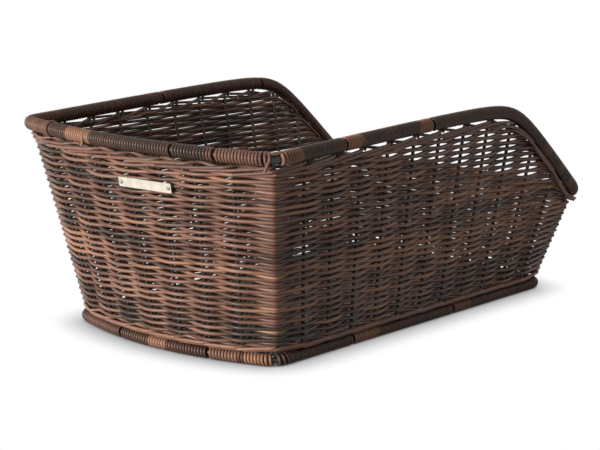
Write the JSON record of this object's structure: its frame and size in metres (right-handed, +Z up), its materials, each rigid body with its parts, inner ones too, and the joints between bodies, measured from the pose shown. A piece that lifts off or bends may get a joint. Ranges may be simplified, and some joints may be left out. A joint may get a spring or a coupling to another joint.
{
  "type": "bicycle basket",
  "caption": "Open bicycle carrier basket: flared woven strand walls on a wire frame, a wrapped rim that slopes down to a low saddle end, and a flat wrapped base ring.",
  "frame": {"origin": "on the ground under the middle of the whole basket's box", "axes": "+Z up, +Y along the length towards the low saddle end, +X to the right seen from the tall end with the nameplate"},
  "size_m": [0.3348, 0.5138, 0.2103],
  "materials": {
    "frame_steel": "dark coated steel wire",
    "weave_strand": "satin round strand, mottled brown to charcoal",
    "binding_strand": "satin round strand, dark with orange-brown stretches",
    "wale_strand": "satin round strand, orange-brown",
    "plate_metal": "cream satin metal, bare",
    "rivet_metal": "dull rivet"
  },
  "bodies": {
    "root": {"rim_rod": "frame_steel", "base_rod": "frame_steel", "corner_post_rear_right": "frame_steel", "corner_post_saddle_right": "frame_steel", "corner_post_saddle_left": "frame_steel", "corner_post_rear_left": "frame_steel", "cross_stake_01": "frame_steel", "cross_stake_02": "frame_steel", "cross_stake_03": "frame_steel", "cross_stake_04": "frame_steel", "cross_stake_05": "frame_steel", "cross_stake_06": "frame_steel", "cross_stake_07": "frame_steel", "cross_stake_08": "frame_steel", "cross_stake_09": "frame_steel", "cross_stake_10": "frame_steel", "cross_stake_11": "frame_steel", "length_stake_1": "frame_steel", "length_stake_2": "frame_steel", "length_stake_3": "frame_steel", "length_stake_4": "frame_steel", "length_stake_5": "frame_steel", "length_stake_6": "frame_steel", "length_stake_7": "frame_steel", "rim_binding_rear": "binding_strand", "rim_binding_right": "binding_strand", "rim_binding_saddle": "binding_strand", "rim_binding_left": "binding_strand", "rim_lashing_rear_right": "binding_strand", "rim_lashing_saddle_right": "binding_strand", "rim_lashing_saddle_left": "binding_strand", "rim_lashing_rear_left": "binding_strand", "base_binding_rear": "binding_strand", "base_binding_right": "binding_strand", "base_binding_saddle": "binding_strand", "base_binding_left": "binding_strand", "base_lashing_rear_right": "binding_strand", "base_lashing_saddle_right": "binding_strand", "base_lashing_saddle_left": "binding_strand", "base_lashing_rear_left": "binding_strand", "woven_wall_rear": "weave_strand", "woven_wall_right": "weave_strand", "woven_wall_saddle": "weave_strand", "woven_wall_left": "weave_strand", "woven_floor": "weave_strand", "foot_wale_rear": "wale_strand", "foot_wale_right": "wale_strand", "foot_wale_saddle": "wale_strand", "foot_wale_left": "wale_strand", "nameplate": "plate_metal", "nameplate_rivet_1": "rivet_metal", "nameplate_rivet_2": "rivet_metal"}
  },
  "joints": []
}
